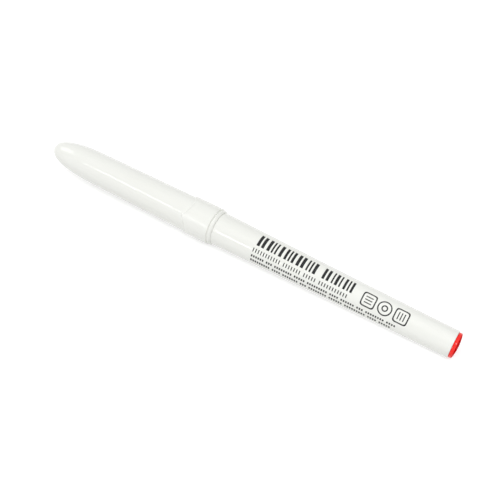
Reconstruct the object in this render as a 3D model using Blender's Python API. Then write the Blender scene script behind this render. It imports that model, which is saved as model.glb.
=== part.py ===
# Nail primer pen: a fibre-tip marker with a long bullet cap, a tapered barrel and a red end plug.
#
# The pen lies along X with the nose of its cap towards -X, and rests on the plane z = 0.
# A place is a distance along the pen from the tip of the cap's nose, and a radius is measured
# from the pen's axis. Lengths are in metres. The radii build up from the fibre reservoir
# outwards, so each wall, step and clearance is written once.

import math

import bmesh
import bpy

# Clearance between pieces that seat in, on or over each other
seat_gap = 0.0003

# Reservoir: a fibre bundle in a thin film sleeve
reservoir_radius = 0.0026
film_wall = 0.0002

# Nib: a fibre rod with a bullet tip, whose tail stands in the reservoir
nib_radius = 0.0014
nib_reach = 0.0055           # how far it stands out of its holder
nib_tip_length = 0.0042
nib_tail_depth = 0.0060      # how far it reaches into the reservoir
nib_tail_chamfer = 0.0004

# Barrel: a tapered tube, drawn in a little faster near the cap than near the plug
barrel_length = 0.0762
barrel_rear_wall = 0.00071
barrel_front_wall = 0.00115
barrel_draft = 0.0005        # how much wider the bore is in front than behind
barrel_front_round = 0.0003
barrel_rear_round = 0.0002
socket_step = 0.0001         # ledge at the bottom of the holder's socket
rib_start = 0.0010           # from the bottom of the socket
rib_length = 0.0380
rib_run_out = 0.0020         # slope at each end of a rib

# Nib holder: stem in the barrel, seat for the cap, sealing land and cone
stem_length = 0.0090
stem_bead_height = 0.00015
stem_bead_width = 0.0008
stem_cup_depth = 0.0050
stem_cup_wall = 0.0008
stem_chamfer = 0.0003
seat_shoulder = 0.00035      # how far the seat overlaps the barrel's front rim
seat_length = 0.0108
seat_bead_height = 0.0001
seat_bead_width = 0.0012
seat_bead_place = 0.0050     # from the rear end of the seat
seat_front_round = 0.0004
land_length = 0.0044
cone_length = 0.0065
cone_tip_wall = 0.00045
cone_tip_round = 0.00015
vent_width = 0.0005
vent_depth = 0.0016

# Inner seal: a cup inside the cap that closes on the holder's land
seal_ledge = 0.00045         # step in the cap's bore that the seal's flange meets
seal_wall = 0.0007
seal_flange_thickness = 0.0008
seal_corner_round = 0.0020

# Cap: bullet nose, long taper, collar with four inclined faces, groove and bevelled lip
cap_length = 0.0622
cap_wall = 0.00078
cap_swell = 0.00037          # how much the long taper widens from the nose to the collar
nose_length = 0.0160
nose_tip_wall = 0.0012
collar_height = 0.00035      # how far the collar stands out from the taper
collar_length = 0.00885
collar_lead = 0.0005         # plain stretch of the cap in front of the inclined faces
lip_length = 0.0014
lip_drop = 0.0002            # how much lower the lip starts than the collar
lip_wall = 0.0003
lip_edge_round = 0.00015
groove_width = 0.0003
groove_depth = 0.00025
mouth_chamfer = 0.00015

# End plug: a low domed head and a hollow stem pressed into the barrel
plug_head_length = 0.0010
plug_head_inset = 0.00036    # how far the head stays inside the barrel's rear edge
plug_face_radius = 0.0015    # flat middle of the head
plug_dome_height = 0.0006
plug_stem_length = 0.0070
plug_stem_wall = 0.0009
plug_cup_depth = 0.0060
plug_bead_height = 0.00015
plug_bead_width = 0.0008

# Radii that follow, from the reservoir outwards
film_inner_radius = reservoir_radius + seat_gap
film_outer_radius = film_inner_radius + film_wall
rear_bore_radius = film_outer_radius + seat_gap
barrel_rear_radius = rear_bore_radius + barrel_rear_wall
front_bore_radius = rear_bore_radius + barrel_draft
socket_radius = front_bore_radius + socket_step
barrel_front_radius = socket_radius + barrel_front_wall
stem_bead_radius = socket_radius - seat_gap
stem_radius = stem_bead_radius - stem_bead_height
seat_radius = socket_radius + seat_shoulder
cap_seat_radius = seat_radius + seat_bead_height + seat_gap
cap_bore_radius = cap_seat_radius - seal_ledge
nose_radius = cap_bore_radius + cap_wall
cap_rear_radius = nose_radius + cap_swell
collar_radius = cap_rear_radius + collar_height
seal_outer_radius = cap_bore_radius - seat_gap
seal_bore_radius = seal_outer_radius - seal_wall
land_radius = seal_bore_radius - seat_gap
nib_hole_radius = nib_radius + seat_gap
cone_tip_radius = nib_hole_radius + cone_tip_wall
plug_stem_radius = rear_bore_radius - seat_gap
plug_head_radius = barrel_rear_radius - plug_head_inset

# Places that follow, from the nose to the plug's end
cap_mouth = cap_length
seat_front = cap_mouth - seat_length
land_front = seat_front - land_length
cone_tip = land_front - cone_length
nib_tip = cone_tip - nib_reach
seal_rear = seat_front - seat_gap
cap_ledge = seal_rear - seal_flange_thickness - seat_gap
seal_front = nose_length - seal_corner_round
barrel_front = cap_mouth + seat_gap
stem_rear = barrel_front + stem_length
socket_bottom = stem_rear + seat_gap
barrel_rear = barrel_front + barrel_length
head_front = barrel_rear + seat_gap
plug_front = head_front - plug_stem_length
pen_length = head_front + plug_head_length
reservoir_front = stem_rear + seat_gap
reservoir_rear = plug_front - seat_gap
nib_tail = reservoir_front + nib_tail_depth

# Counts, angles and pure numbers
flat_turn = math.radians(18) # each of a ring's four sides has one wide facet, on which the pen lies still
side_columns = 11            # points on each side, an odd number so that one falls on the corner between sides
columns = 4 * side_columns
corner_column = side_columns // 2
rib_reach = 1                # points of the bore that a rib takes in on each side of its middle
nose_steps = 10
nose_fullness = 2.6          # 2 would make the nose an ellipse, and more makes it blunter
nib_steps = 6
nib_fullness = 1.7
taper_steps = 7
taper_power = 1.35           # 1 would make the barrel a plain cone
round_steps = 3
ramp_slope = math.tan(math.radians(42))
sharp_angle = math.radians(28)
quarter_turn = math.radians(90)

# Height of the pen's axis while the wide facet under its collar lies on the ground plane
rest_height = collar_radius * math.cos(flat_turn / 2)


def column_angle(column):
    side, step = divmod(column, side_columns)
    return side * quarter_turn + flat_turn / 2 + (quarter_turn - flat_turn) * step / (side_columns - 1)


def ring(place, radius):
    return [(place, radius)] * columns


def rings(profile):
    return [ring(place, radius) for place, radius in profile]


def pole(place):
    return [(place, 0)]


def rounding(place, radius, along, outward, start, end):
    # Quarter ellipse about a centre: half axes along the pen and outward, angles from +X outwards
    points = []
    for step in range(round_steps + 1):
        angle = start + (end - start) * step / round_steps
        points.append((place + along * math.cos(angle), radius + outward * math.sin(angle)))
    return points


def bullet(tip, length, radius, fullness, steps):
    # Outline of a rounded nose from just behind its tip to its full radius
    points = []
    for step in range(1, steps + 1):
        turn = quarter_turn * step / steps
        points.append((tip + length * (1 - math.cos(turn)), radius * math.sin(turn) ** (2 / fullness)))
    return points


def bead(middle, width, low, high):
    # Low ring with sloped sides on a stem or a seat
    return [(middle - width / 2, low), (middle - width / 6, high), (middle + width / 6, high),
            (middle + width / 2, low)]


def plastic(name, colour, roughness, transmission=0):
    material = bpy.data.materials.new(name)
    material.use_nodes = True
    shader = material.node_tree.nodes["Principled BSDF"]
    shader.inputs["Base Color"].default_value = (*colour, 1)
    shader.inputs["Roughness"].default_value = roughness
    shader.inputs["Metallic"].default_value = 0
    shader.inputs["Transmission Weight"].default_value = transmission
    return material


def skin(mesh, outline, looped):
    # Joins each ring of the outline to the next, and the last to the first where it loops
    body = bmesh.new()
    loops = [[point_on_ring(body, pair, column) for column, pair in enumerate(points)] for points in outline]
    followers = loops[1:] + loops[:1] if looped else loops[1:]
    for near, far in zip(loops, followers):
        for column in range(columns):
            following = (column + 1) % columns
            corners = [near[column % len(near)], near[following % len(near)],
                       far[following % len(far)], far[column % len(far)]]
            body.faces.new(dict.fromkeys(corners))
    bmesh.ops.recalc_face_normals(body, faces=body.faces)
    body.to_mesh(mesh)
    body.free()


def point_on_ring(body, pair, column):
    place, radius = pair
    angle = column_angle(column)
    return body.verts.new((place, radius * math.sin(angle), radius * math.cos(angle)))


def add_piece(name, outline, material, carrier, origin=0, looped=False):
    # The mesh is made about the pen's axis, and its origin is set at a place on that axis
    mesh = bpy.data.meshes.new(name)
    moved = [[(place - origin, radius) for place, radius in points] for points in outline]
    skin(mesh, moved, looped)
    mesh.shade_smooth()
    mesh.set_sharp_from_angle(angle=sharp_angle)
    mesh.materials.append(material)
    piece = bpy.data.objects.new(name, mesh)
    bpy.context.collection.objects.link(piece)
    piece.parent = carrier
    piece.location.x = origin - carrier["place"]
    return piece


def add_carrier(name, place, parent=None):
    # Empty on the pen's axis that carries the pieces which stay or move together
    carrier = bpy.data.objects.new(name, None)
    carrier["place"] = place
    bpy.context.collection.objects.link(carrier)
    if parent:
        carrier.parent = parent
        carrier.location.x = place - parent["place"]
    else:
        carrier.location = (place - pen_length / 2, 0, rest_height)
    return carrier


def face_offset(column):
    # Angle from the middle of the nearest of the four inclined faces
    return (column_angle(column) + quarter_turn / 2) % quarter_turn - quarter_turn / 2


def inclined_ring(radius):
    # Where four planes that rise towards the mouth cut a cylinder of this radius
    crest = cap_mouth - collar_length
    return [(crest - (collar_radius - radius * math.cos(face_offset(column))) / ramp_slope, radius)
            for column in range(columns)]


def cap_outside():
    taper_end = inclined_ring(cap_rear_radius)[corner_column][0] - collar_lead
    collar_end = cap_mouth - lip_length
    lip_start_radius = collar_radius - lip_drop
    lip_end_radius = cap_seat_radius + lip_wall
    outline = [pole(0)]
    outline += rings(bullet(0, nose_length, nose_radius, nose_fullness, nose_steps))
    outline += [ring(taper_end, cap_rear_radius)]
    outline += [inclined_ring(cap_rear_radius), inclined_ring(collar_radius)]
    outline += rings([
        (collar_end, collar_radius),
        (collar_end + groove_width / 2, collar_radius - groove_depth),
        (collar_end + groove_width, lip_start_radius),
        (collar_end + groove_width + lip_edge_round, lip_start_radius),
        (cap_mouth - lip_edge_round, lip_end_radius + lip_edge_round / 2),
        (cap_mouth, lip_end_radius),
    ])
    return outline


def cap_inside():
    bead_middle = cap_mouth - seat_bead_place
    groove = bead(bead_middle, seat_bead_width, cap_seat_radius, cap_seat_radius + seat_bead_height)
    hollow = bullet(nose_tip_wall, nose_length - nose_tip_wall, cap_bore_radius, nose_fullness, nose_steps)
    outline = rings([
        (cap_mouth, cap_seat_radius + mouth_chamfer),
        (cap_mouth - mouth_chamfer, cap_seat_radius),
    ])
    outline += rings(reversed(groove))
    outline += rings([(cap_ledge, cap_seat_radius), (cap_ledge, cap_bore_radius)])
    outline += rings(reversed(hollow))
    outline += [pole(nose_tip_wall)]
    return outline


def add_cap(carrier):
    material = plastic("white_cap_plastic", (0.88, 0.88, 0.86), 0.22)
    return add_piece("cap", cap_outside() + cap_inside(), material, carrier, origin=cap_mouth)


def add_inner_seal(carrier):
    flange_front = seal_rear - seal_flange_thickness
    corner = seal_front + seal_corner_round
    outside = rounding(corner, seal_outer_radius - seal_corner_round, seal_corner_round, seal_corner_round,
                       2 * quarter_turn, quarter_turn)
    inner_round = seal_corner_round - seal_wall
    inside = rounding(corner, seal_bore_radius - inner_round, inner_round, inner_round,
                      quarter_turn, 2 * quarter_turn)
    flange_radius = cap_seat_radius - seat_gap
    outline = [pole(seal_front)]
    outline += rings(outside)
    outline += rings([
        (flange_front, seal_outer_radius),
        (flange_front, flange_radius),
        (seal_rear, flange_radius),
        (seal_rear, seal_bore_radius),
    ])
    outline += rings(inside)
    outline += [pole(seal_front + seal_wall)]
    material = plastic("natural_seal_plastic", (0.80, 0.81, 0.80), 0.45)
    return add_piece("cap_inner_seal", outline, material, carrier, origin=seal_rear)


def holder_outline():
    # Runs from the nib's hole over the cone, land, seat and stem, and back through the bore
    cup_radius = stem_radius - stem_cup_wall
    stem_bead_middle = barrel_front + stem_length / 2
    points = [(cone_tip, nib_hole_radius), (cone_tip, cone_tip_radius - cone_tip_round)]
    points += [(cone_tip + cone_tip_round, cone_tip_radius)]
    points += [(land_front, land_radius), (seat_front, land_radius)]
    points += rounding(seat_front + seat_front_round, seat_radius - seat_front_round, seat_front_round,
                       seat_front_round, 2 * quarter_turn, quarter_turn)
    points += bead(cap_mouth - seat_bead_place, seat_bead_width, seat_radius, seat_radius + seat_bead_height)
    points += [(cap_mouth, seat_radius), (cap_mouth, stem_radius)]
    points += bead(stem_bead_middle, stem_bead_width, stem_radius, stem_bead_radius)
    points += [(stem_rear - stem_chamfer, stem_radius), (stem_rear, stem_radius - stem_chamfer)]
    points += [(stem_rear, cup_radius), (stem_rear - stem_cup_depth, cup_radius)]
    points += [(stem_rear - stem_cup_depth, nib_hole_radius)]
    return rings(points)


def cut_vents(holder):
    # Two crossing slots through the cone's tip let air in as the liquid leaves
    for number, turn in enumerate((0, quarter_turn)):
        mesh = bpy.data.meshes.new(f"vent_cutter_{number}")
        body = bmesh.new()
        bmesh.ops.create_cube(body, size=1)
        bmesh.ops.scale(body, vec=(2 * vent_depth, 2 * land_radius, vent_width), verts=body.verts)
        body.to_mesh(mesh)
        body.free()
        cutter = bpy.data.objects.new(mesh.name, mesh)
        bpy.context.collection.objects.link(cutter)
        cutter.parent = holder
        cutter.location.x = cone_tip - cap_mouth
        cutter.rotation_euler.x = turn
        cutter.hide_render = True
        cutter.display_type = "WIRE"
        cut = holder.modifiers.new(mesh.name, "BOOLEAN")
        cut.operation = "DIFFERENCE"
        cut.object = cutter


def add_nib_holder(carrier):
    material = plastic("white_holder_plastic", (0.84, 0.84, 0.82), 0.35)
    holder = add_piece("nib_holder", holder_outline(), material, carrier, origin=cap_mouth, looped=True)
    cut_vents(holder)
    return holder


def add_nib(carrier):
    outline = [pole(nib_tip)]
    outline += rings(bullet(nib_tip, nib_tip_length, nib_radius, nib_fullness, nib_steps))
    outline += rings([(nib_tail - nib_tail_chamfer, nib_radius), (nib_tail, nib_radius - nib_tail_chamfer)])
    outline += [pole(nib_tail)]
    material = plastic("felt_nib_fibre", (0.86, 0.85, 0.80), 0.95)
    return add_piece("nib", outline, material, carrier, origin=nib_tip)


def add_reservoir_core(carrier):
    # The nib's tail stands in a pocket in the bundle's front end
    pocket_bottom = nib_tail + seat_gap
    outline = [pole(pocket_bottom)]
    outline += rings([
        (pocket_bottom, nib_hole_radius),
        (reservoir_front, nib_hole_radius),
        (reservoir_front, reservoir_radius),
        (reservoir_rear, reservoir_radius),
    ])
    outline += [pole(reservoir_rear)]
    material = plastic("reservoir_fibre", (0.82, 0.82, 0.80), 0.95)
    return add_piece("reservoir_core", outline, material, carrier, origin=reservoir_front)


def add_reservoir_film(carrier):
    outline = rings([
        (reservoir_front, film_inner_radius),
        (reservoir_front, film_outer_radius),
        (reservoir_rear, film_outer_radius),
        (reservoir_rear, film_inner_radius),
    ])
    material = plastic("clear_film", (0.85, 0.87, 0.88), 0.15, transmission=0.8)
    return add_piece("reservoir_film", outline, material, carrier, origin=reservoir_front, looped=True)


def barrel_outside():
    # From the front rim over the front edge, down the long taper and over the rear edge
    points = rounding(barrel_front + barrel_front_round, barrel_front_radius - barrel_front_round,
                      barrel_front_round, barrel_front_round, 2 * quarter_turn, quarter_turn)
    taper_front, _ = points.pop()
    taper_rear = barrel_rear - barrel_rear_round
    for step in range(taper_steps + 1):
        share = step / taper_steps
        radius = barrel_rear_radius + (barrel_front_radius - barrel_rear_radius) * (1 - share) ** taper_power
        points.append((taper_front + (taper_rear - taper_front) * share, radius))
    rear_edge = rounding(taper_rear, barrel_rear_radius - barrel_rear_round,
                         barrel_rear_round, barrel_rear_round, quarter_turn, 0)
    return rings(points + rear_edge[1:])


def bore_radius(place):
    share = (place - socket_bottom) / (barrel_rear - socket_bottom)
    return front_bore_radius + (rear_bore_radius - front_bore_radius) * share


def ribbed_ring(place):
    # The points at each corner stand in to a rib's crest, clear of the film
    crest = film_outer_radius + seat_gap
    wall = bore_radius(place)
    points = []
    for column in range(columns):
        on_rib = abs(column % side_columns - corner_column) <= rib_reach
        points.append((place, crest if on_rib else wall))
    return points


def barrel_inside():
    # From the rear end forwards: draft of the bore, ribs round the reservoir, and the socket
    ribs_front = socket_bottom + rib_start
    ribs_rear = ribs_front + rib_length
    outline = [ring(barrel_rear, rear_bore_radius)]
    outline += [ring(ribs_rear, bore_radius(ribs_rear))]
    outline += [ribbed_ring(ribs_rear - rib_run_out), ribbed_ring(ribs_front + rib_run_out)]
    outline += [ring(ribs_front, bore_radius(ribs_front))]
    outline += rings([
        (socket_bottom, front_bore_radius),
        (socket_bottom, socket_radius),
        (barrel_front, socket_radius),
    ])
    return outline


def add_barrel(carrier):
    material = plastic("white_barrel_plastic", (0.88, 0.88, 0.86), 0.25)
    outline = barrel_outside() + barrel_inside()
    return add_piece("barrel", outline, material, carrier, origin=barrel_front, looped=True)


def add_end_plug(carrier):
    dome_start = pen_length - plug_dome_height
    cup_radius = plug_stem_radius - plug_bead_height - plug_stem_wall
    stem_radius_low = plug_stem_radius - plug_bead_height
    bead_middle = head_front - plug_stem_length / 2
    points = [(plug_front + plug_cup_depth, cup_radius), (plug_front, cup_radius)]
    points += [(plug_front, stem_radius_low)]
    points += bead(bead_middle, plug_bead_width, stem_radius_low, plug_stem_radius)
    points += [(head_front, stem_radius_low), (head_front, plug_head_radius)]
    points += rounding(dome_start, plug_face_radius, plug_dome_height, plug_head_radius - plug_face_radius,
                       quarter_turn, 0)
    outline = [pole(plug_front + plug_cup_depth)] + rings(points) + [pole(pen_length)]
    material = plastic("red_plug_plastic", (0.85, 0.02, 0.02), 0.2)
    return add_piece("end_plug", outline, material, carrier, origin=head_front)


def main():
    for leftover in list(bpy.data.objects):
        bpy.data.objects.remove(leftover)
    pen_axis = add_carrier("pen_axis", barrel_front)
    cap_pull = add_carrier("cap_pull", cap_mouth, pen_axis)
    add_cap(cap_pull)
    add_inner_seal(cap_pull)
    add_nib_holder(pen_axis)
    add_nib(pen_axis)
    add_reservoir_core(pen_axis)
    add_reservoir_film(pen_axis)
    add_barrel(pen_axis)
    add_end_plug(pen_axis)


main()
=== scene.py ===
import math

import bmesh
import bpy
from mathutils import Matrix, Quaternion, Vector


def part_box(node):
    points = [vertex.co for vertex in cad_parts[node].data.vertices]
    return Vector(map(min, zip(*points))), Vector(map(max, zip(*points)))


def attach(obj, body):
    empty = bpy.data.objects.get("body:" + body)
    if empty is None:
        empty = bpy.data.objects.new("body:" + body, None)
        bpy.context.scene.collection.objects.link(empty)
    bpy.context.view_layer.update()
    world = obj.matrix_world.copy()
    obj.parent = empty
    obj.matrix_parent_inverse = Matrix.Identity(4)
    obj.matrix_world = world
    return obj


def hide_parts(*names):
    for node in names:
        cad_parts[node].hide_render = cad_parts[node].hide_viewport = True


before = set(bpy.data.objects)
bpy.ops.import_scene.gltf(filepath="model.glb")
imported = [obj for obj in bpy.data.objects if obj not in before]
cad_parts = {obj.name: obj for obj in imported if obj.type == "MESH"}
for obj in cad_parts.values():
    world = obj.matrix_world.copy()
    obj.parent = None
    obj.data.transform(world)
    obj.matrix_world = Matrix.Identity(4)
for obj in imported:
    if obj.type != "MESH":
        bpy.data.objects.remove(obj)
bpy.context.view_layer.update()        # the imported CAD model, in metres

mm = 0.001
capLow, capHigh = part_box("cap")
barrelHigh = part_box("barrel")[1]
noseX = capLow.x                          # places along the pen count from the nose of its cap, in mm
axisZ = (capLow.z + capHigh.z) / 2        # height of the pen's axis
capMouth = (capHigh.x - noseX) / mm
mouthGap = 0.03                           # the gap that shows between cap and barrel is hairline
rearReach = 0.12                          # brings the barrel's rear edge up to the plug's head
barrelFront = capMouth + mouthGap
barrelRear = (barrelHigh.x - noseX) / mm + rearReach
print("frame loaded: mouth of the cap at %.1f mm, barrel from %.1f to %.1f mm"
      % (capMouth, barrelFront, barrelRear))


# Colours, nodes and materials

def colour(hexCode):
    # sRGB hex to the linear values that shaders work in
    parts = [int(hexCode[start:start + 2], 16) / 255 for start in (1, 3, 5)]
    linear = [part / 12.92 if part <= 0.04045 else ((part + 0.055) / 1.055) ** 2.4 for part in parts]
    return (*linear, 1.0)


def addNode(tree, kind, values=None, links=None, **settings):
    node = tree.nodes.new(kind)
    for key, value in settings.items():
        setattr(node, key, value)
    for key, value in (values or {}).items():
        node.inputs[key].default_value = value
    for key, socket in (links or {}).items():
        tree.links.new(socket, node.inputs[key])
    return node


def newMaterial(name, patterns):
    # patterns holds each noise that the material uses: its length, width and height in mm, and its detail
    material = bpy.data.materials.new(name)
    material.use_nodes = True
    tree = material.node_tree
    tree.nodes.clear()
    shader = addNode(tree, "ShaderNodeBsdfPrincipled")
    addNode(tree, "ShaderNodeOutputMaterial", links={"Surface": shader.outputs["BSDF"]})
    place = addNode(tree, "ShaderNodeTexCoord").outputs["Object"]
    noise = {}
    for use, (size, detail) in patterns.items():
        scaled = addNode(tree, "ShaderNodeMapping", {"Scale": [1 / (length * mm) for length in size]},
                         {"Vector": place})
        noise[use] = addNode(tree, "ShaderNodeTexNoise", {"Scale": 1.0, "Detail": detail},
                             {"Vector": scaled.outputs["Vector"]}).outputs["Fac"]
    return material, tree, shader, noise


def mouldedPlastic(name, look):
    # Injection-moulded plastic: an even colour with faint flow mottle, a fine orange peel from the
    # polished mould, hairline handling marks along the pen and edges that are rubbed a little duller
    material, tree, shader, noise = newMaterial(name, {
        "flow": ((look["flowLength"], look["flowWidth"], look["flowWidth"]), 2.0),
        "peel": ((look["peelSize"], look["peelSize"], look["peelSize"]), 1.0),
        "hairs": ((look["hairLength"], look["hairWidth"], look["hairWidth"]), 2.0),
    })
    hairLine = addNode(tree, "ShaderNodeMapRange", {"From Min": 0.66, "From Max": 0.74},
                       {"Value": noise["hairs"]}).outputs["Result"]
    clouds = addNode(tree, "ShaderNodeMapRange", {"From Min": 0.35, "From Max": 0.75},
                     {"Value": noise["flow"]}).outputs["Result"]
    wear = addNode(tree, "ShaderNodeAttribute", attribute_name="edgeWear").outputs["Fac"]
    mottle = addNode(tree, "ShaderNodeMix", {"A": colour(look["colour"]), "B": colour(look["shade"])},
                     {"Factor": clouds}, data_type="RGBA")
    worn = addNode(tree, "ShaderNodeMix", {"B": colour(look["wornColour"])},
                   {"Factor": wear, "A": mottle.outputs["Result"]}, data_type="RGBA")
    tree.links.new(worn.outputs["Result"], shader.inputs["Base Color"])
    # Roughness: the mould's polish, then what the handling marks, the flow and the worn edges add
    dull = addNode(tree, "ShaderNodeMath", {1: look["hairRoughness"], 2: look["roughness"]}, {0: hairLine},
                   operation="MULTIPLY_ADD").outputs[0]
    for amount, where in (("unevenRoughness", noise["flow"]), ("edgeRoughness", wear)):
        dull = addNode(tree, "ShaderNodeMath", {1: look[amount]}, {0: where, 2: dull},
                       operation="MULTIPLY_ADD").outputs[0]
    tree.links.new(dull, shader.inputs["Roughness"])
    peeled = addNode(tree, "ShaderNodeBump", {"Strength": 1.0, "Distance": look["peelHeight"] * mm},
                     {"Height": noise["peel"]})
    scratched = addNode(tree, "ShaderNodeBump", {"Strength": 1.0, "Distance": look["hairDepth"] * mm},
                        {"Height": hairLine, "Normal": peeled.outputs["Normal"]}, invert=True)
    tree.links.new(scratched.outputs["Normal"], shader.inputs["Normal"])
    shader.inputs["IOR"].default_value = look["ior"]
    shader.inputs["Specular IOR Level"].default_value = look["specular"]
    shader.inputs["Subsurface Weight"].default_value = look["depthGlow"]
    shader.inputs["Subsurface Scale"].default_value = look["glowDepth"] * mm
    return material


# White polypropylene from a polished mould: bright, slightly warm and glossy, with sharp reflections
glossPolypropylene = {
    "colour": "#F0F1EC", "shade": "#EDEEE8", "wornColour": "#E9EAE4", "ior": 1.49, "specular": 0.5,
    "roughness": 0.10, "unevenRoughness": 0.05, "hairRoughness": 0.05, "edgeRoughness": 0.15,
    "flowLength": 22.0, "flowWidth": 3.0, "peelSize": 1.1, "peelHeight": 0.0012,
    "hairLength": 9.0, "hairWidth": 0.10, "hairDepth": 0.0004, "depthGlow": 0.0, "glowDepth": 0.4,
}
# The same polypropylene where the mould has a stoned insert: the shine is broad and soft
satinPolypropylene = dict(glossPolypropylene, roughness=0.20, unevenRoughness=0.06, peelHeight=0.0016)
# Natural polyethylene, unpigmented: milky and waxy, softer than the cap round it
naturalPolyethylene = {
    "colour": "#E6E8E4", "shade": "#DDE0DC", "wornColour": "#EEF0EC", "ior": 1.51, "specular": 0.5,
    "roughness": 0.38, "unevenRoughness": 0.08, "hairRoughness": 0.06, "edgeRoughness": 0.10,
    "flowLength": 8.0, "flowWidth": 2.0, "peelSize": 0.8, "peelHeight": 0.003,
    "hairLength": 5.0, "hairWidth": 0.12, "hairDepth": 0.0006, "depthGlow": 0.35, "glowDepth": 0.4,
}
# Polypropylene coloured red in the mass, from a polished mould: saturated, with a small sharp shine
redPolypropylene = {
    "colour": "#FA1D0F", "shade": "#F4190C", "wornColour": "#FA2A1A", "ior": 1.45, "specular": 0.4,
    "roughness": 0.05, "unevenRoughness": 0.06, "hairRoughness": 0.08, "edgeRoughness": 0.05,
    "flowLength": 3.0, "flowWidth": 2.0, "peelSize": 0.7, "peelHeight": 0.0015,
    "hairLength": 1.2, "hairWidth": 0.08, "hairDepth": 0.0005, "depthGlow": 0.0, "glowDepth": 0.4,
}
# The plug's end face comes from a spark-eroded mould face and is matt; its deeper red than the polished rim
# is painted shade, for a face turned away from the light
texturedRedWithPaintedShade = dict(redPolypropylene, colour="#D80C0E", shade="#CC090A", wornColour="#DC1412", roughness=0.9,
                   specular=0.0, peelSize=0.25, peelHeight=0.004)


def bondedFibre(name, look):
    # Polyester fibres laid lengthwise and bonded with resin: matt, streaked and slightly fuzzy
    material, tree, shader, noise = newMaterial(name, {
        "strands": ((look["strandLength"], look["strandWidth"], look["strandWidth"]), 4.0),
        "clumps": ((look["strandLength"] * 2, look["clumpWidth"], look["clumpWidth"]), 2.0),
    })
    total = addNode(tree, "ShaderNodeMath", links={0: noise["strands"], 1: noise["clumps"]}, operation="ADD")
    mean = addNode(tree, "ShaderNodeMath", {1: 0.5}, {0: total.outputs[0]}, operation="MULTIPLY")
    streaks = addNode(tree, "ShaderNodeMapRange", {"From Min": 0.38, "From Max": 0.58},
                      {"Value": mean.outputs[0]})
    tint = addNode(tree, "ShaderNodeMix", {"A": colour(look["shade"]), "B": colour(look["colour"])},
                   {"Factor": streaks.outputs["Result"]}, data_type="RGBA")
    tree.links.new(tint.outputs["Result"], shader.inputs["Base Color"])
    dull = addNode(tree, "ShaderNodeMapRange", {"From Min": 0.3, "From Max": 0.7, "To Min": look["roughness"],
                                                "To Max": 1.0}, {"Value": noise["strands"]})
    tree.links.new(dull.outputs["Result"], shader.inputs["Roughness"])
    lay = addNode(tree, "ShaderNodeBump", {"Strength": 1.0, "Distance": look["strandHeight"] * mm},
                  {"Height": noise["strands"]})
    tree.links.new(lay.outputs["Normal"], shader.inputs["Normal"])
    shader.inputs["IOR"].default_value = look["ior"]
    shader.inputs["Sheen Weight"].default_value = look["fuzz"]
    shader.inputs["Sheen Roughness"].default_value = look["fuzzSpread"]
    return material


# Fibres are about 0.02 mm thick, and drawn as strands of 0.07 mm and more so that they show
nibFibre = {
    "colour": "#F1EEE3", "shade": "#D9D3C2", "ior": 1.5, "roughness": 0.75, "fuzz": 0.25, "fuzzSpread": 0.5,
    "strandLength": 1.6, "strandWidth": 0.07, "clumpWidth": 0.35, "strandHeight": 0.02,
}
bundleFibre = {
    "colour": "#ECECE6", "shade": "#CFCFC8", "ior": 1.5, "roughness": 0.8, "fuzz": 0.25, "fuzzSpread": 0.5,
    "strandLength": 6.0, "strandWidth": 0.12, "clumpWidth": 0.6, "strandHeight": 0.05,
}


def extrudedFilm(name, look):
    # Blown polypropylene film: clear and thin, with faint draw lines and a cool edge
    material, tree, shader, noise = newMaterial(name, {
        "draw": ((look["drawLength"], look["drawWidth"], look["drawWidth"]), 2.0)})
    tint = addNode(tree, "ShaderNodeMix", {"A": colour(look["colour"]), "B": colour(look["shade"])},
                   {"Factor": noise["draw"]}, data_type="RGBA")
    tree.links.new(tint.outputs["Result"], shader.inputs["Base Color"])
    dull = addNode(tree, "ShaderNodeMapRange", {"From Min": 0.3, "From Max": 0.7, "To Min": look["roughness"],
                                                "To Max": look["drawRoughness"]}, {"Value": noise["draw"]})
    tree.links.new(dull.outputs["Result"], shader.inputs["Roughness"])
    shader.inputs["IOR"].default_value = look["ior"]
    shader.inputs["Transmission Weight"].default_value = look["clearness"]
    return material


blownFilm = {
    "colour": "#EEF2F4", "shade": "#DCE4E8", "ior": 1.49, "roughness": 0.06, "drawRoughness": 0.16,
    "drawLength": 30.0, "drawWidth": 0.4, "clearness": 0.85,
}


def printedInk(name, look):
    # Pad-printed black ink: a thin, slightly matt layer with tiny pinholes and a grey cast where it is thin
    material, tree, shader, noise = newMaterial(name, {
        "cover": ((look["grain"], look["grain"], look["grain"]), 4.0)})
    thin = addNode(tree, "ShaderNodeMapRange", {"From Min": 0.45, "From Max": 0.7}, {"Value": noise["cover"]})
    tint = addNode(tree, "ShaderNodeMix", {"A": colour(look["colour"]), "B": colour(look["thinColour"])},
                   {"Factor": thin.outputs["Result"]}, data_type="RGBA")
    tree.links.new(tint.outputs["Result"], shader.inputs["Base Color"])
    dull = addNode(tree, "ShaderNodeMapRange", {"From Min": 0.3, "From Max": 0.7, "To Min": look["roughness"],
                                                "To Max": look["thinRoughness"]}, {"Value": noise["cover"]})
    tree.links.new(dull.outputs["Result"], shader.inputs["Roughness"])
    shader.inputs["IOR"].default_value = look["ior"]
    shader.inputs["Specular IOR Level"].default_value = look["specular"]
    return material


padInk = {
    "colour": "#151517", "thinColour": "#2B2B2D", "ior": 1.5, "specular": 0.3,
    "roughness": 0.38, "thinRoughness": 0.55, "grain": 0.5,
}


capGloss = mouldedPlastic("glossMouldedPolypropylene", glossPolypropylene)
capSatin = mouldedPlastic("satinMouldedPolypropylene", satinPolypropylene)
sealWax = mouldedPlastic("naturalMouldedPolyethylene", naturalPolyethylene)
plugRed = mouldedPlastic("redMouldedPolypropylene", redPolypropylene)
# The end face's material is a darker red than the rim: painted shade
plugFaceWithPaintedShade = mouldedPlastic("texturedRedWithPaintedShadePolypropylene", texturedRedWithPaintedShade)
nibFelt = bondedFibre("bondedPolyesterNib", nibFibre)
bundleFelt = bondedFibre("polyesterFibreBundle", bundleFibre)
filmClear = extrudedFilm("clearBlownFilm", blownFilm)
inkBlack = printedInk("blackPadPrintInk", padInk)
print("materials ready")


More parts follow.
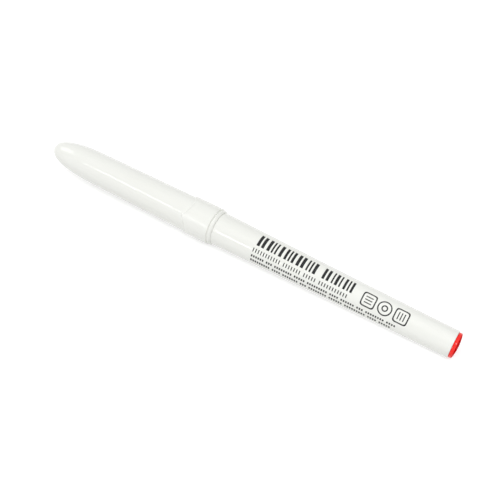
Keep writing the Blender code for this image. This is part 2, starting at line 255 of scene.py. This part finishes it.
# Turned pieces: an outline of (place, radius, rounding, wear) corners in mm, turned about the pen's axis

roundSteps = 5
longestRound = 0.48       # of the side that a rounding runs along


def softened(corners, looped):
    # A corner with a rounding becomes a short curve that meets both of its sides smoothly
    points = []
    last = len(corners) - 1
    for index, (place, radius, rounding, wear) in enumerate(corners):
        if not rounding or (not looped and index in (0, last)):
            points.append((place, radius, 0.0))
            continue
        here = Vector((place, radius))
        toBefore = Vector(corners[index - 1][:2]) - here
        toAfter = Vector(corners[index + 1 if index < last else 0][:2]) - here
        reach = min(rounding, toBefore.length * longestRound, toAfter.length * longestRound)
        start = here + toBefore.normalized() * reach
        end = here + toAfter.normalized() * reach
        for step in range(roundSteps + 1):
            share = step / roundSteps
            spot = start.lerp(here, share).lerp(here.lerp(end, share), share)
            points.append((spot.x, spot.y, wear * math.sin(math.pi * share)))
    return points


def turnedPiece(name, cornersAt, columns, materials, looped=False, materialAt=None):
    mesh = bpy.data.meshes.new(name)
    body = bmesh.new()
    wearLayer = body.verts.layers.float.new("edgeWear")
    rows = []
    for column in range(columns):
        turn = 2 * math.pi * column / columns
        for row, (place, radius, wear) in enumerate(softened(cornersAt(turn), looped)):
            if column == 0:
                rows.append([])
            if radius == 0 and column:
                rows[row].append(rows[row][0])
                continue
            spot = (noseX + place * mm, -radius * mm * math.sin(turn), axisZ + radius * mm * math.cos(turn))
            vert = body.verts.new(spot)
            vert[wearLayer] = wear
            rows[row].append(vert)
    pairs = list(zip(rows, rows[1:])) + ([(rows[-1], rows[0])] if looped else [])
    for near, far in pairs:
        for column in range(columns):
            after = (column + 1) % columns
            around = dict.fromkeys((near[column], near[after], far[after], far[column]))
            face = body.faces.new(around)
            face.smooth = True
            if materialAt:
                middle = sum((vert.co.x for vert in around), 0.0) / len(around)
                face.material_index = materialAt((middle - noseX) / mm)
    bmesh.ops.recalc_face_normals(body, faces=body.faces)
    body.to_mesh(mesh)
    body.free()
    for material in materials:
        mesh.materials.append(material)
    piece = bpy.data.objects.new(name, mesh)
    bpy.context.scene.collection.objects.link(piece)
    evenShading = piece.modifiers.new("evenShading", "WEIGHTED_NORMAL")
    evenShading.weight = 100       # the largest face at a point gives its shading
    return piece


def bulletCorners(tip, length, radius, fullness, steps):
    # From just behind the tip of a rounded nose to its full width
    corners = []
    for step in range(1, steps + 1):
        turn = math.pi / 2 * step / steps
        corners.append((tip + length * (1 - math.cos(turn)), radius * math.sin(turn) ** (2 / fullness), 0, 0))
    return corners


def beadCorners(middle, width, low, high, soft=0.2):
    return [(middle - width / 2, low, soft, 0), (middle - width / 6, high, soft, 0.3),
            (middle + width / 6, high, soft, 0.3), (middle + width / 2, low, soft, 0)]


# Cap: bullet nose, long taper, collar whose front edge is four inclined faces, groove and rounded lip
cap = {
    "noseLength": 16.0, "noseRadius": 5.08, "noseFullness": 2.6, "taperRadius": 5.45,
    "collarLength": 8.85, "collarRadius": 5.8, "rampSlope": 42, "cornerLead": 0.5,
    "footRound": 0.35, "crestRound": 0.22, "collarCrown": 0.02, "crownEnd": 0.4,
    "lipLength": 1.42, "grooveMiddle": 0.14, "grooveDepth": 0.42, "lipRadius": 5.22,
    "bead": ((0.27, 5.58, 0.06), (0.55, 5.68, 0.12), (1.05, 5.54, 0.18)),      # after the collar's end
    "mouthRadius": 4.9, "mouthBevel": 0.15, "seatRadius": 4.75, "boreRadius": 4.3, "ledge": 50.0,
    "tipWall": 1.2, "snapGroove": 57.2, "snapWidth": 1.2, "snapDepth": 0.1,
    "noseSteps": 44, "taperSteps": 6, "boreSteps": 16, "columns": 192,
}


def capCorners(turn):
    quarter = math.pi / 2
    offset = (turn + quarter / 2) % quarter - quarter / 2    # from the middle of the nearest inclined face
    slope = math.tan(math.radians(cap["rampSlope"]))
    crest = capMouth - cap["collarLength"]
    collarEnd = capMouth - cap["lipLength"]
    foot = crest - (cap["collarRadius"] - cap["taperRadius"] * math.cos(offset)) / slope
    top = crest - cap["collarRadius"] * (1 - math.cos(offset)) / slope
    deepest = crest - (cap["collarRadius"] - cap["taperRadius"] * math.cos(quarter / 2)) / slope
    corners = [(0, 0, 0, 0)]
    corners += bulletCorners(0, cap["noseLength"], cap["noseRadius"], cap["noseFullness"], cap["noseSteps"])
    for step in range(1, cap["taperSteps"] + 1):
        share = step / cap["taperSteps"]
        corners.append((cap["noseLength"] + (deepest - cap["cornerLead"] - cap["noseLength"]) * share,
                        cap["noseRadius"] + (cap["taperRadius"] - cap["noseRadius"]) * share, 0, 0))
    corners += [(foot, cap["taperRadius"], cap["footRound"], 0),
                (top, cap["collarRadius"], cap["crestRound"], 1)]
    for share in (0.25, 0.5, 0.75):
        corners.append((crest + cap["crownEnd"] + (collarEnd - crest - 2 * cap["crownEnd"]) * share,
                        cap["collarRadius"] + cap["collarCrown"] * math.sin(math.pi * share), 0, 0))
    corners += [
        (collarEnd, cap["collarRadius"], 0.10, 1),
        (collarEnd + cap["grooveMiddle"], cap["collarRadius"] - cap["grooveDepth"], 0.05, 0),
    ]
    corners += [(collarEnd + after, radius, rounding, 0.15) for after, radius, rounding in cap["bead"]]
    corners += [
        (capMouth, cap["lipRadius"], 0.05, 0.6),
        (capMouth, cap["mouthRadius"], 0.05, 0.6),
        (capMouth - cap["mouthBevel"], cap["seatRadius"], 0.08, 0),
    ]
    snap = beadCorners(cap["snapGroove"], cap["snapWidth"], cap["seatRadius"],
                       cap["seatRadius"] + cap["snapDepth"])
    corners += reversed(snap)
    corners += [(cap["ledge"], cap["seatRadius"], 0.05, 0), (cap["ledge"], cap["boreRadius"], 0.08, 0)]
    hollow = bulletCorners(cap["tipWall"], cap["noseLength"] - cap["tipWall"], cap["boreRadius"],
                           cap["noseFullness"], cap["boreSteps"])
    corners += reversed(hollow)
    corners.append((cap["tipWall"], 0, 0, 0))
    return corners


def capMaterial(place):
    return 1 if capMouth - cap["collarLength"] < place < capMouth - cap["lipLength"] else 0


capPiece = turnedPiece("cap_shell", capCorners, cap["columns"], [capGloss, capSatin], materialAt=capMaterial)
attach(capPiece, "cap_body")
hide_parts("cap")
print("cap built")


# Inner seal: a soft cup inside the cap, with a flange that stops on the cap's ledge
seal = {
    "front": 14.0, "outerRadius": 4.0, "boreRadius": 3.3, "wall": 0.7, "cornerRound": 2.0,
    "flangeThickness": 0.8, "flangeRadius": 4.45, "rear": 51.1, "leadIn": 0.25, "columns": 128,
}


def sealCorners(turn):
    return [
        (seal["front"], 0, 0, 0),
        (seal["front"], seal["outerRadius"], seal["cornerRound"], 0),
        (seal["rear"] - seal["flangeThickness"], seal["outerRadius"], 0.2, 0),
        (seal["rear"] - seal["flangeThickness"], seal["flangeRadius"], 0.1, 0.5),
        (seal["rear"], seal["flangeRadius"], 0.12, 0.5),
        (seal["rear"], seal["boreRadius"] + seal["leadIn"], 0.1, 0.8),
        (seal["rear"] - seal["leadIn"] * 2, seal["boreRadius"], 0.2, 0),
        (seal["front"] + seal["wall"], seal["boreRadius"], seal["cornerRound"] - seal["wall"], 0),
        (seal["front"] + seal["wall"], 0, 0, 0),
    ]


sealPiece = turnedPiece("seal_cup", sealCorners, seal["columns"], [sealWax])
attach(sealPiece, "cap_body")
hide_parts("cap_inner_seal")
print("inner seal built")


# Nib holder: cone with two crossing air slots, sealing land, seat with a snap bead, and stem
holder = {
    "coneTip": 40.5, "holeRadius": 1.7, "tipRadius": 2.15, "landFront": 47.0, "landRadius": 3.0,
    "seatFront": 51.4, "seatRadius": 4.35, "snapBead": 57.2, "snapWidth": 1.2, "snapHeight": 0.1,
    "stemRadius": 3.55, "stemBead": 3.7, "stemBeadPlace": 67.0, "stemBeadWidth": 0.8, "stemRear": 71.5,
    "stemBevel": 0.3, "cupDepth": 5.0, "cupRadius": 2.75, "slotWidth": 0.5, "slotDepth": 1.6, "columns": 144,
}


def holderCorners(turn):
    corners = [
        (holder["coneTip"], holder["holeRadius"], 0.06, 0),
        (holder["coneTip"], holder["tipRadius"], 0.14, 1),
        (holder["landFront"], holder["landRadius"], 0.3, 0),
        (holder["seatFront"], holder["landRadius"], 0.12, 0),
        (holder["seatFront"], holder["seatRadius"], 0.4, 0.8),
    ]
    corners += beadCorners(holder["snapBead"], holder["snapWidth"], holder["seatRadius"],
                           holder["seatRadius"] + holder["snapHeight"])
    corners += [(capMouth, holder["seatRadius"], 0.1, 0.5), (capMouth, holder["stemRadius"], 0.08, 0)]
    corners += beadCorners(holder["stemBeadPlace"], holder["stemBeadWidth"], holder["stemRadius"],
                           holder["stemBead"])
    corners += [
        (holder["stemRear"] - holder["stemBevel"], holder["stemRadius"], 0.1, 0.5),
        (holder["stemRear"], holder["stemRadius"] - holder["stemBevel"], 0.1, 0.5),
        (holder["stemRear"], holder["cupRadius"], 0.05, 0),
        (holder["stemRear"] - holder["cupDepth"], holder["cupRadius"], 0.1, 0),
        (holder["stemRear"] - holder["cupDepth"], holder["holeRadius"], 0.1, 0),
    ]
    return corners


def cutSlots(piece):
    # Two saw-thin slots let air in past the nib as the liquid leaves
    mesh = bpy.data.meshes.new("slot_saw")
    saw = bmesh.new()
    for turn in (0, math.pi / 2):
        for vert in bmesh.ops.create_cube(saw, size=1)["verts"]:
            along = vert.co.x * 2 * holder["slotDepth"]
            across = vert.co.y * 2 * holder["landRadius"]
            thick = vert.co.z * holder["slotWidth"]
            vert.co = (noseX + (holder["coneTip"] + along) * mm,
                       (across * math.cos(turn) - thick * math.sin(turn)) * mm,
                       axisZ + (across * math.sin(turn) + thick * math.cos(turn)) * mm)
    saw.to_mesh(mesh)
    saw.free()
    blades = bpy.data.objects.new("slot_saw", mesh)
    bpy.context.scene.collection.objects.link(blades)
    cut = piece.modifiers.new("airSlots", "BOOLEAN")
    cut.operation = "DIFFERENCE"
    cut.solver = "EXACT"
    cut.use_self = True
    cut.object = blades
    sliced = bpy.data.meshes.new_from_object(piece.evaluated_get(bpy.context.evaluated_depsgraph_get()))
    piece.modifiers.clear()
    piece.data = sliced
    bpy.data.objects.remove(blades)


holderPiece = turnedPiece("nib_holder_shell", holderCorners, holder["columns"], [capSatin], looped=True)
cutSlots(holderPiece)
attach(holderPiece, "pen_body")
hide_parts("nib_holder")
print("nib holder built")


# Nib: a fibre rod ground to a bullet tip
nib = {
    "tip": 35.0, "tipLength": 4.2, "radius": 1.4, "fullness": 1.7, "tail": 77.8, "tailChamfer": 0.4,
    "fuzz": 0.012, "teeth": ((17, 1.7), (29, -2.3)),      # how many teeth go round, and their shift by row
    "tipSteps": 28, "bareSteps": 11, "bareStep": 0.5, "columns": 72,
}


def nibCorners(turn):
    corners = [(nib["tip"], 0, 0, 0)]
    corners += bulletCorners(nib["tip"], nib["tipLength"], nib["radius"], nib["fullness"], nib["tipSteps"])
    for step in range(1, nib["bareSteps"] + 1):
        corners.append((nib["tip"] + nib["tipLength"] + nib["bareStep"] * step, nib["radius"], 0, 0))
    corners += [(nib["tail"] - nib["tailChamfer"], nib["radius"], 0, 0),
                (nib["tail"], nib["radius"] - nib["tailChamfer"], 0, 0), (nib["tail"], 0, 0, 0)]
    # Ground fibre is never quite round: each strand end stands out or in by a hair
    ragged = []
    for index, (place, radius, rounding, wear) in enumerate(corners):
        tooth = sum(math.sin(turn * count + index * shift) for count, shift in nib["teeth"])
        ragged.append((place, max(radius + nib["fuzz"] * tooth / 2, 0) if radius else 0, rounding, wear))
    return ragged


nibPiece = turnedPiece("fibre_nib", nibCorners, nib["columns"], [nibFelt])
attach(nibPiece, "pen_body")
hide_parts("nib")
print("nib built")


# Barrel: a taper that narrows a little faster near the cap, ribs round the reservoir and a socket in front
barrel = {
    "frontRadius": 5.15, "rearRadius": 4.11, "taperPower": 1.35, "frontRound": 0.14, "rearRound": 0.2,
    "socketRadius": 4.0, "socketBottom": 71.8, "frontBore": 3.9, "rearBore": 3.4,
    "ribStart": 1.0, "ribLength": 38.0, "ribRunOut": 2.0, "ribCrest": 3.4, "ribTurn": 10.5,
    "taperSteps": 40, "columns": 192,
}


def barrelRadius(place):
    share = (place - barrelFront) / (barrelRear - barrelFront)
    narrowing = max(1 - share, 0) ** barrel["taperPower"]
    return barrel["rearRadius"] + (barrel["frontRadius"] - barrel["rearRadius"]) * narrowing


def boreRadius(place, turn, height):
    share = (place - barrel["socketBottom"]) / (barrelRear - barrel["socketBottom"])
    wall = barrel["frontBore"] + (barrel["rearBore"] - barrel["frontBore"]) * share
    quarter = math.pi / 2
    fromRib = abs(turn % quarter - quarter / 2) / math.radians(barrel["ribTurn"])
    rib = 0.5 + 0.5 * math.cos(math.pi * min(max(fromRib - 0.5, 0) * 2, 1))
    return wall - (wall - barrel["ribCrest"]) * rib * height


def barrelCorners(turn):
    ribsFront = barrel["socketBottom"] + barrel["ribStart"]
    ribsRear = ribsFront + barrel["ribLength"]
    crestFront, crestRear = ribsFront + barrel["ribRunOut"], ribsRear - barrel["ribRunOut"]
    corners = [(barrelFront, barrelRadius(barrelFront), barrel["frontRound"], 0.7)]
    for step in range(1, barrel["taperSteps"]):
        place = barrelFront + (barrelRear - barrelFront) * step / barrel["taperSteps"]
        corners.append((place, barrelRadius(place), 0, 0))
    corners += [
        (barrelRear, barrelRadius(barrelRear), barrel["rearRound"], 1),
        (barrelRear, barrel["rearBore"], 0.06, 0),
        (ribsRear, boreRadius(ribsRear, turn, 0), 0, 0),
        (crestRear, boreRadius(crestRear, turn, 1), 0, 0),
        (crestFront, boreRadius(crestFront, turn, 1), 0, 0),
        (ribsFront, boreRadius(ribsFront, turn, 0), 0, 0),
        (barrel["socketBottom"], barrel["frontBore"], 0, 0),
        (barrel["socketBottom"], barrel["socketRadius"], 0, 0),
        (barrelFront, barrel["socketRadius"], 0.08, 0.5),
    ]
    return corners


barrelPiece = turnedPiece("barrel_shell", barrelCorners, barrel["columns"], [capGloss], looped=True)
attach(barrelPiece, "pen_body")
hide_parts("barrel")
print("barrel built")


# End plug: a low domed head that closes on the barrel's rear edge, and a hollow stem
plug = {
    "headFront": 138.84, "frontRadius": 3.72, "rimFront": 139.2, "rimRear": 139.58, "headRadius": 3.84,
    "rimDraft": 0.04, "rollLength": 0.28, "rollDrop": 0.32, "rear": 140.25,
    # the end face past this share is painted a darker red as shade
    "faceFrom": 0.9,      # the textured end face starts at this share of the roll
    "stemFront": 132.0, "stemRadius": 2.95, "beadRadius": 3.1, "beadPlace": 135.5, "beadWidth": 0.8,
    "cupRadius": 2.05, "cupDepth": 6.0, "swellSteps": 8, "rollSteps": 9, "domeSteps": 12, "columns": 144,
}


def plugCorners(turn):
    cupBottom = plug["stemFront"] + plug["cupDepth"]
    corners = [
        (cupBottom, 0, 0, 0),
        (cupBottom, plug["cupRadius"], 0.2, 0),
        (plug["stemFront"], plug["cupRadius"], 0.08, 0),
        (plug["stemFront"], plug["stemRadius"], 0.15, 0),
    ]
    corners += beadCorners(plug["beadPlace"], plug["beadWidth"], plug["stemRadius"], plug["beadRadius"])
    corners.append((plug["headFront"], plug["stemRadius"], 0.05, 0))
    # The rim swells a little, narrows by its mould draft where it catches a lamp as a spark, and rolls
    # over into a low dome
    for step in range(plug["swellSteps"]):
        share = 1 - step / plug["swellSteps"]
        corners.append((plug["rimFront"] - (plug["rimFront"] - plug["headFront"]) * share,
                        plug["headRadius"] - (plug["headRadius"] - plug["frontRadius"]) * share ** 2, 0, 0))
    corners.append((plug["rimFront"], plug["headRadius"], 0, 0))
    rimRadius = plug["headRadius"] - plug["rimDraft"]
    for step in range(plug["rollSteps"]):
        angle = math.pi / 2 * step / plug["rollSteps"]
        corners.append((plug["rimRear"] + plug["rollLength"] * math.sin(angle),
                        rimRadius - plug["rollDrop"] * (1 - math.cos(angle)), 0, 0))
    domeRadius = rimRadius - plug["rollDrop"]
    domeFront = plug["rimRear"] + plug["rollLength"]
    for step in range(plug["domeSteps"]):
        share = 1 - step / plug["domeSteps"]
        corners.append((plug["rear"] - (plug["rear"] - domeFront) * share ** 2, domeRadius * share, 0, 0))
    corners.append((plug["rear"], 0, 0, 0))
    return corners


# Faces past this share of the roll take the end face's darker red, which is painted shade
def plugMaterial(place):
    return 1 if place > plug["rimRear"] + plug["rollLength"] * plug["faceFrom"] else 0


plugPiece = turnedPiece("red_plug", plugCorners, plug["columns"], [plugRed, plugFaceWithPaintedShade],
                        materialAt=plugMaterial)
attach(plugPiece, "pen_body")
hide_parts("end_plug")
print("end plug built")


# Reservoir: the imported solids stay, hidden inside the barrel, with their own fibres and film
for node, material in (("reservoir_core", bundleFelt), ("reservoir_film", filmClear)):
    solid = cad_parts[node]
    solid.data.materials.clear()
    solid.data.materials.append(material)
print("reservoir dressed")


# Print: plain generic marks in black ink, in bands along the barrel.
# Places are in mm from the nose, and turns in degrees from straight up towards -Y
printMarks = {
    "inkHeight": 0.02, "inkRoot": 0.03,
    "drift": 0.13,      # the print runs a little askew: degrees of turn for each mm along the barrel
    "cellTurn": 4,      # a bar follows the barrel's curve in cells of about so many degrees
    "bars": {
        "from": 76.5, "turns": (-20.5, 25.5), "between": 0.86, "within": 0.55, "wordGap": 2.2,
        "groups": (
            ((0.92, 0.92), (0.92, 0.52, 0.52), (0.92,), (0.77, 0.52, 0.77), (0.92, 0.92), (0.52, 0.52, 0.92)),
            ((0.8, 0.8), (0.46, 0.84, 0.46), (0.7, 0.46, 0.7)),
        ),
    },
    "ticks": [
        {"from": 76.1, "to": 107.0, "turns": (36.5, 51.0), "pitch": 0.86, "width": 0.30,
         "words": (11, 7, 5)},
        {"from": 76.1, "to": 122.4, "turns": (61.8, 70.3), "pitch": 0.74, "width": 0.46,
         "words": (6, 3, 8, 5, 9, 4)},
        {"from": 76.1, "to": 121.0, "turns": (80.2, 91.0), "pitch": 0.74, "width": 0.46,
         "words": (9, 4, 7, 3, 8, 6)},
    ],
    "tickWordGap": 0.8,      # of a row's pitch
    "badges": {
        "places": (113.0, 118.0, 123.1), "turn": 19.5, "size": 4.3, "line": 0.36,
        # shares of half a badge, and for thinLine of a line
        "innerRing": 0.35, "strokeApart": 0.4, "strokeReach": 0.45, "thinLine": 0.8,
        "squareness": 6, "loopCells": 64, "strokeCells": 6,
    },
}


def inkSpot(place, turn, lift):
    radius = (barrelRadius(place) + lift) * mm
    angle = math.radians(turn + printMarks["drift"] * (place - printMarks["bars"]["from"]))
    return (noseX + place * mm, -radius * math.sin(angle), axisZ + radius * math.cos(angle))


def inkPatch(body, outline):
    # outline["at"] gives place and turn for u, v from 0 to 1. The patch is a thin closed shell on the barrel
    across, along = outline["cells"]
    closed = outline["closed"]
    layers = []
    for lift in (printMarks["inkHeight"], -printMarks["inkRoot"]):
        rows = []
        for u in range(across if closed else across + 1):
            rows.append([body.verts.new(inkSpot(*outline["at"](u / across, v / along), lift))
                         for v in range(along + 1)])
        layers.append(rows + rows[:1] if closed else rows)
    top, root = layers
    for u in range(across):
        for v in range(along):
            body.faces.new((top[u][v], top[u + 1][v], top[u + 1][v + 1], top[u][v + 1]))
            body.faces.new((root[u][v], root[u][v + 1], root[u + 1][v + 1], root[u + 1][v]))
    sides = [((u, 0), (u + 1, 0)) for u in range(across)]
    sides += [((u + 1, along), (u, along)) for u in range(across)]
    if not closed:
        sides += [((across, v), (across, v + 1)) for v in range(along)]
        sides += [((0, v + 1), (0, v)) for v in range(along)]
    for (u, v), (nextU, nextV) in sides:
        body.faces.new((top[u][v], root[u][v], root[nextU][nextV], top[nextU][nextV]))


def straightBar(start, width, lowTurn, highTurn):
    def at(u, v):
        return start + width * v, highTurn + (lowTurn - highTurn) * u
    cells = max(2, round((highTurn - lowTurn) / printMarks["cellTurn"]))
    return {"at": at, "cells": (cells, 1), "closed": False}


def lineStroke(ends, width, arc):
    # A straight stroke between two (place, arc in mm) points on the unrolled barrel
    first, second = Vector(ends[0]), Vector(ends[1])
    ahead = (second - first).normalized()
    side = Vector((-ahead.y, ahead.x)) * width / 2
    first, second = first - ahead * width / 2, second + ahead * width / 2

    def at(u, v):
        spot = first.lerp(second, u) + side * (2 * v - 1)
        return spot.x, arc(spot)
    return {"at": at, "cells": (printMarks["badges"]["strokeCells"], 1), "closed": False}


def loopStroke(centre, radius, squareness, width, arc):
    # A closed line: a circle at squareness 2, and above it nearer to a square with soft corners
    def at(u, v):
        angle = 2 * math.pi * u
        ahead = Vector((math.cos(angle), math.sin(angle)))
        bulge = (abs(ahead.x) ** squareness + abs(ahead.y) ** squareness) ** (1 / squareness)
        spot = Vector((centre, 0)) + ahead * (radius + width * (v - 0.5)) / bulge
        return spot.x, arc(spot)
    return {"at": at, "cells": (printMarks["badges"]["loopCells"], 1), "closed": True}


def printBars(body, bars):
    place = bars["from"]
    for group in bars["groups"]:
        for cell in group:
            for width in cell:
                inkPatch(body, straightBar(place, width, *bars["turns"]))
                place += width + bars["within"]
            place += bars["between"] - bars["within"]
        place += bars["wordGap"] - bars["between"]


def printTicks(body, row):
    place, word, count = row["from"], 0, 0
    while place < row["to"]:
        inkPatch(body, straightBar(place, row["width"], *row["turns"]))
        place += row["pitch"]
        count += 1
        if count == row["words"][word % len(row["words"])]:
            place, word, count = place + row["pitch"] * printMarks["tickWordGap"], word + 1, 0


def printBadge(body, badges, number):
    # The first and last are soft squares with strokes along and across, and the middle one is two rings
    centre = badges["places"][number]
    degreesPerMm = math.degrees(1 / barrelRadius(centre))

    def arc(spot):
        return badges["turn"] + spot.y * degreesPerMm
    half, line = badges["size"] / 2, badges["line"]
    if number == 1:
        inkPatch(body, loopStroke(centre, half - line / 2, 2, line, arc))
        inkPatch(body, loopStroke(centre, half * badges["innerRing"], 2, line, arc))
        return
    inkPatch(body, loopStroke(centre, half - line / 2, badges["squareness"], line, arc))
    apart, reach = half * badges["strokeApart"], half * badges["strokeReach"]
    for step in (-1, 0, 1):
        if number == 0:
            ends = ((centre - reach, step * apart), (centre + reach, step * apart))
        else:
            ends = ((centre + step * apart, -reach), (centre + step * apart, reach))
        inkPatch(body, lineStroke(ends, line * badges["thinLine"], arc))


def buildPrint():
    body = bmesh.new()
    printBars(body, printMarks["bars"])
    for row in printMarks["ticks"]:
        printTicks(body, row)
    for number in range(len(printMarks["badges"]["places"])):
        printBadge(body, printMarks["badges"], number)
    bmesh.ops.recalc_face_normals(body, faces=body.faces)
    mesh = bpy.data.meshes.new("barrel_print")
    body.to_mesh(mesh)
    body.free()
    mesh.materials.append(inkBlack)
    piece = bpy.data.objects.new("barrel_print", mesh)
    bpy.context.scene.collection.objects.link(piece)
    return piece


printPiece = buildPrint()
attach(printPiece, "pen_body")
print("print laid on the barrel")


# Floor and sky
stage = {
    "floorSize": 6.0, "restX": 60.8, "restRadius": 5.8, "rearX": 138.2, "rearRadius": 4.11, "floorGap": 0.02,
    "floorColour": "#E2E2E2", "floorRoughness": 0.5, "floorGlow": 0.46, "white": "#FFFFFF",
    "skyLight": 0.585, "skyCentre": 0.88,      # what lights the pen: all over, and more in the middle
    "skyShow": 1.0, "skySheen": 0.9,           # what shows as background and in gloss
    "skyFocus": 7.0, "skyTurn": 1.0, "skyLean": 6.0,
}


def seenDirectly(tree):
    # 1 where the camera sees it, straight, in gloss or through clear film, and 0 where it only lights
    path = addNode(tree, "ShaderNodeLightPath")
    seen = path.outputs["Is Camera Ray"]
    for ray in ("Is Glossy Ray", "Is Transmission Ray"):
        seen = addNode(tree, "ShaderNodeMath", links={0: seen, 1: path.outputs[ray]},
                       operation="MAXIMUM").outputs[0]
    return seen


def buildFloor():
    # The pen lies on its collar's rear edge and its barrel's rear edge, so the floor is tipped to touch both
    frontX = noseX + stage["restX"] * mm
    rearX = noseX + stage["rearX"] * mm
    frontZ = axisZ - stage["restRadius"] * mm
    rearZ = axisZ - stage["rearRadius"] * mm
    slope = (rearZ - frontZ) / (rearX - frontX)
    half = stage["floorSize"] / 2
    corners = [(x, y, frontZ + (x - frontX) * slope - stage["floorGap"] * mm)
               for x, y in ((-half, -half), (half, -half), (half, half), (-half, half))]
    mesh = bpy.data.meshes.new("floor")
    mesh.from_pydata(corners, [], [(0, 1, 2, 3)])
    floor = bpy.data.objects.new("floor", mesh)
    bpy.context.scene.collection.objects.link(floor)
    # Matt white paper: no shine, and a soft shadow
    material = bpy.data.materials.new("mattWhitePaper")
    material.use_nodes = True
    tree = material.node_tree
    tree.nodes.clear()
    paper = addNode(tree, "ShaderNodeBsdfDiffuse", {"Color": colour(stage["floorColour"]),
                                                    "Roughness": stage["floorRoughness"]})
    strength = addNode(tree, "ShaderNodeMath", {1: stage["floorGlow"]}, {0: seenDirectly(tree)},
                       operation="MULTIPLY")
    glow = addNode(tree, "ShaderNodeEmission", {"Color": colour(stage["white"])},
                   {"Strength": strength.outputs[0]})
    both = addNode(tree, "ShaderNodeAddShader", links={0: paper.outputs["BSDF"], 1: glow.outputs["Emission"]})
    addNode(tree, "ShaderNodeOutputMaterial", links={"Surface": both.outputs["Shader"]})
    mesh.materials.append(material)


def buildSky():
    world = bpy.data.worlds.new("studio")
    bpy.context.scene.world = world
    world.use_nodes = True
    tree = world.node_tree
    tree.nodes.clear()
    # The sky is brightest almost overhead, like a large soft window, and that part shows as a broad sheen
    turn, lean = math.radians(stage["skyTurn"]), math.radians(stage["skyLean"])
    brightest = (math.sin(lean), -math.sin(turn) * math.cos(lean), math.cos(turn) * math.cos(lean))
    direction = addNode(tree, "ShaderNodeTexCoord").outputs["Generated"]
    facing = addNode(tree, "ShaderNodeVectorMath", {1: brightest}, {0: direction}, operation="DOT_PRODUCT")
    above = addNode(tree, "ShaderNodeMath", {1: 0.0}, {0: facing.outputs["Value"]}, operation="MAXIMUM")
    lobe = addNode(tree, "ShaderNodeMath", {1: stage["skyFocus"]}, {0: above.outputs[0]}, operation="POWER")
    skies = []
    for middle, allOver in (("skyCentre", "skyLight"), ("skySheen", "skyShow")):
        strength = addNode(tree, "ShaderNodeMath", {1: stage[middle], 2: stage[allOver]},
                           {0: lobe.outputs[0]}, operation="MULTIPLY_ADD")
        skies.append(addNode(tree, "ShaderNodeBackground", {"Color": colour(stage["white"])},
                             {"Strength": strength.outputs[0]}).outputs["Background"])
    mix = addNode(tree, "ShaderNodeMixShader", links={0: seenDirectly(tree), 1: skies[0], 2: skies[1]})
    addNode(tree, "ShaderNodeOutputWorld", links={"Surface": mix.outputs["Shader"]})


# Lamps, with turns in degrees from straight up towards -Y, distances in metres and powers in watts. The two
# strips show as the bright lines along cap and barrel, and the key as the spark on the plug's rim
lamps = {
    "capStrip": {"ends": ((-0.63, 39.3), (-0.42, 44.5)), "distance": 1.0, "width": 0.03, "power": 0.42},
    "barrelStrip": {"ends": ((-0.40, 51.5), (-0.19, 63.0)), "distance": 1.0, "width": 0.035, "power": 0.71},
    "key": {"x": 0.127, "turn": 16.5, "distance": 0.34, "width": 0.06, "length": 0.05, "power": 0.17},
    "fill": {"x": 0.4, "turn": 65.0, "distance": 1.2, "width": 0.8, "length": 0.8, "power": 0.87},
    "sidebox": {"x": -1.10, "turn": 2.0, "distance": 0.75, "width": 0.5, "length": 0.5, "power": 2.0},
}


def lampSpot(x, turn, distance):
    angle = math.radians(turn)
    return Vector((x, -distance * math.sin(angle), distance * math.cos(angle)))


def addLamp(name, spot, length, width, power, along):
    # A rectangle that faces the middle of the pen, with its length as near to along as it can be
    data = bpy.data.lights.new(name, "AREA")
    data.shape = "RECTANGLE"
    data.size = length
    data.size_y = width
    data.energy = power
    lamp = bpy.data.objects.new(name, data)
    bpy.context.scene.collection.objects.link(lamp)
    away = (spot - Vector((0, 0, axisZ))).normalized()
    side = (along - away * along.dot(away)).normalized()
    turned = Matrix((side, away.cross(side), away)).transposed().to_4x4()
    lamp.matrix_world = Matrix.Translation(spot) @ turned


def buildLamps():
    for name, lamp in lamps.items():
        if "ends" in lamp:
            first, second = (lampSpot(x, turn, lamp["distance"]) for x, turn in lamp["ends"])
            spot, along = (first + second) / 2, second - first
            length = along.length
        else:
            spot, along = lampSpot(lamp["x"], lamp["turn"], lamp["distance"]), Vector((1, 0, 0))
            length = lamp["length"]
        addLamp(name + "_lamp", spot, length, lamp["width"], lamp["power"], along)


# The photograph was taken from about 26 cm, looking down at 55 degrees from beyond the plug's end
cameraView = {
    "azimuth": 30.87, "elevation": 55.31, "distance": 259.5, "lens": 62.64, "sensor": 36,
    "anchor": 3.9, "anchorRight": 0.716, "anchorUp": 1.50, "roll": 0.24, "nearest": 0.01, "farthest": 20,
}


def buildCamera():
    turn, lift = math.radians(cameraView["azimuth"]), math.radians(cameraView["elevation"])
    back = Vector((math.sin(turn) * math.cos(lift), -math.cos(turn) * math.cos(lift), math.sin(lift)))
    right = Vector((math.cos(turn), math.sin(turn), 0))
    target = Vector((cameraView["anchor"] * mm, 0, axisZ))
    target -= (right * cameraView["anchorRight"] + back.cross(right) * cameraView["anchorUp"]) * mm
    data = bpy.data.cameras.new("photo_camera")
    data.lens = cameraView["lens"]
    data.sensor_width = cameraView["sensor"]
    data.clip_start = cameraView["nearest"]
    data.clip_end = cameraView["farthest"]
    camera = bpy.data.objects.new("photo_camera", data)
    bpy.context.scene.collection.objects.link(camera)
    camera.location = target + back * cameraView["distance"] * mm
    camera.rotation_mode = "QUATERNION"
    rolled = Quaternion((0, 0, 1), math.radians(cameraView["roll"]))
    camera.rotation_quaternion = (-back).to_track_quat("-Z", "Y") @ rolled
    bpy.context.scene.camera = camera


buildFloor()
buildSky()
buildLamps()
buildCamera()
bpy.context.scene.view_settings.view_transform = "Standard"
print("stage, lamps and camera set")
